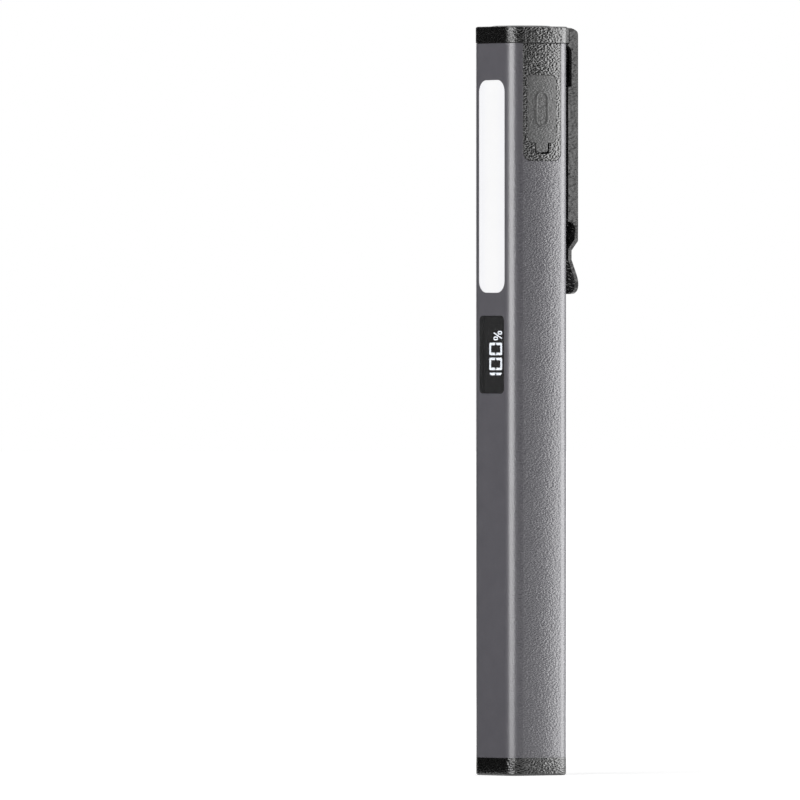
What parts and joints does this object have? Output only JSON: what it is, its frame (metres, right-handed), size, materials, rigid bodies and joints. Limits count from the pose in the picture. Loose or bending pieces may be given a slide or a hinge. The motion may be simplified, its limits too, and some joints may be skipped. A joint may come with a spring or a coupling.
{
  "type": "penlight",
  "caption": "Slim square-tube rechargeable penlight with a side flood light, charge display, covered charging port, end torch and spring clip.",
  "frame": {"origin": "centre of the flat tail face, where the light stands", "axes": "+Z along the tube towards the head end; -Y out of the front, where the flood light and display are; +X out of the side with the charging port; +Y towards the clip"},
  "size_m": [0.0152, 0.0208, 0.16],
  "materials": {
    "tube_grey": "satin anodised, fine grain along the sides",
    "cap_black": "coarse spark-eroded texture",
    "seal_black": "matt",
    "ring_black": "satin black",
    "clear": "polished",
    "led_yellow": "silicone with phosphor",
    "board_white": "white solder mask",
    "lens_white": "milky, satin, lit from behind",
    "frame_white": "matt",
    "bare_aluminium": "mill finish",
    "pin_gold": "gold flash",
    "smoked": "polished, smoked",
    "display_black": "matt",
    "digit_white": "lit",
    "board_green": "solder mask",
    "chip_black": "moulded",
    "screw_steel": "zinc plated",
    "inner_grey": "moulded",
    "cover_grey": "smooth, silky",
    "socket_steel": "nickel plated",
    "button_grey": "matt",
    "plunger_white": "moulded",
    "cell_blue": "shrink sleeve",
    "nickel": "rolled strip",
    "lead_red": "sleeving",
    "clip_black": "coarse textured powder coat",
    "magnet_grey": "nickel plated"
  },
  "bodies": {
    "light": {"body_tube": "tube_grey", "head_cap": "cap_black", "head_gasket": "seal_black", "torch_ring": "ring_black", "torch_lens": "clear", "torch_led": "led_yellow", "torch_board": "board_white", "torch_leads": "lead_red", "flood_lens": "lens_white", "flood_frame": "frame_white", "flood_strip": "led_yellow", "flood_board": "board_white", "flood_pins": "pin_gold", "heat_spreader": "bare_aluminium", "display_window": "smoked", "display_block": "display_black", "display_digits": "digit_white", "circuit_board": "board_green", "board_components": "chip_black", "board_screws": "screw_steel", "board_carrier": "inner_grey", "port_panel": "cap_black", "cover_anchor": "cover_grey", "socket_shell": "socket_steel", "socket_insulator": "chip_black", "switch_panel": "cap_black", "switch_body": "chip_black", "battery_cell": "cell_blue", "battery_tabs": "nickel", "battery_leads": "lead_red", "battery_cradle": "inner_grey", "tail_cap": "cap_black", "tail_seal": "seal_black", "tail_magnet": "magnet_grey", "clip_screws": "screw_steel"},
    "port_cover": {"port_cover": "cover_grey"},
    "button": {"power_button": "button_grey", "switch_plunger": "plunger_white"},
    "clip": {"clip": "clip_black"}
  },
  "joints": [
    {"name": "port_cover_hinge", "type": "hinge", "parent": "light", "child": "port_cover", "pos_m": [0.00735, 0, 0.1494], "axis": [0, -1, 0], "range_deg": [0, 120]},
    {"name": "button_press", "type": "slide", "parent": "light", "child": "button", "axis": [1, 0, 0], "range_m": [0, 0.00035], "stiffness_N_per_m": 3000},
    {"name": "clip_flex", "type": "hinge", "parent": "light", "child": "clip", "pos_m": [0, 0.01102, 0.1562], "axis": [1, 0, 0], "range_deg": [0, 2.8], "stiffness_Nm_per_rad": 1.5}
  ]
}
